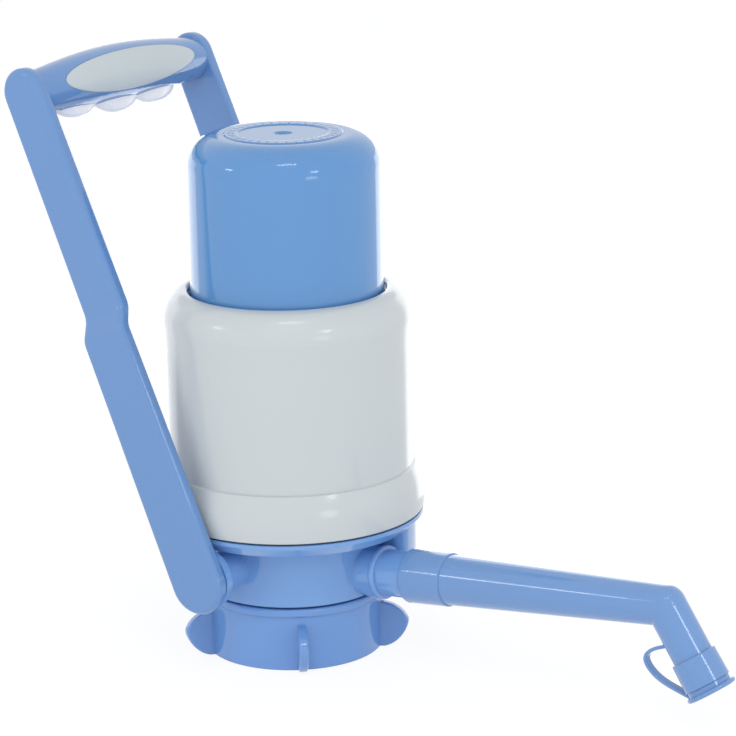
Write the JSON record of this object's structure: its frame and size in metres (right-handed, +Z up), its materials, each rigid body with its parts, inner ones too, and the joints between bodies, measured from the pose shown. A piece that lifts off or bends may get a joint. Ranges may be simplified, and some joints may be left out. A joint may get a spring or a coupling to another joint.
{
  "type": "water jug hand pump",
  "caption": "Hand pump that screws on a large water jug: press cap over a bellows, white housing, side spout with a stopper, neck nut and a carrying handle.",
  "frame": {"origin": "centre of the neck nut's lower rim, on the pump's axis", "axes": "+Z up the pump's axis towards the press cap, +X towards the spout, the handle turns about Y"},
  "size_m": [0.2674, 0.1084, 0.2128],
  "materials": {
    "blue_gloss_plastic": "glossy light blue",
    "white_gloss_plastic": "glossy white",
    "white_matte_plastic": "plain white moulding",
    "grey_soft_plastic": "soft pale grey",
    "grey_rubber": "grey rubber",
    "bellows_rubber": "pale natural rubber",
    "spring_steel": "bright spring wire",
    "screw_steel": "zinc plated"
  },
  "bodies": {
    "base": {"base_body": "blue_gloss_plastic", "nut_retaining_ring": "white_matte_plastic", "neck_seal": "grey_rubber", "intake_elbow": "white_matte_plastic", "plate_gasket": "grey_rubber", "valve_plate": "white_matte_plastic", "air_valve_flap": "grey_rubber", "bellows": "bellows_rubber", "bellows_clamp_ring": "white_matte_plastic", "ring_screws": "screw_steel", "return_spring": "spring_steel", "housing_shell": "white_gloss_plastic", "cap_guide_sleeve": "white_matte_plastic", "spout_oring": "grey_rubber"},
    "nut": {"neck_nut": "blue_gloss_plastic"},
    "cap": {"press_cap": "blue_gloss_plastic", "top_plate": "white_matte_plastic", "spring_cup": "white_matte_plastic", "inlet_valve_flap": "grey_rubber"},
    "spout": {"spout_collar": "blue_gloss_plastic", "spout_tube": "blue_gloss_plastic", "nozzle_sleeve": "blue_gloss_plastic", "stopper_strap": "blue_gloss_plastic"},
    "stopper": {"stopper": "blue_gloss_plastic"},
    "handle": {"handle_frame": "blue_gloss_plastic", "grip_inlay": "grey_soft_plastic", "finger_pad": "white_gloss_plastic"}
  },
  "joints": [
    {"name": "cap_press", "type": "slide", "parent": "base", "child": "cap", "axis": [0, 0, -1], "range_m": [0, 0.045], "stiffness_N_per_m": 400, "springref_m": -0.02, "deforming": ["bellows", "return_spring"]},
    {"name": "neck_nut_turn", "type": "hinge", "parent": "base", "child": "nut", "pos_m": [0, 0, 0], "axis": [0, 0, 1], "continuous": true},
    {"name": "spout_swivel", "type": "hinge", "parent": "base", "child": "spout", "pos_m": [0, 0, 0.03005], "axis": [0.9968, 0, 0.0802], "continuous": true},
    {"name": "stopper_pull", "type": "slide", "parent": "spout", "child": "stopper", "axis": [0.5534, 0, -0.8329], "range_m": [0, 0.012]},
    {"name": "handle_swing", "type": "hinge", "parent": "base", "child": "handle", "pos_m": [-0.003, 0, 0.0366], "axis": [0, 1, 0], "range_deg": [-66, 94]}
  ]
}
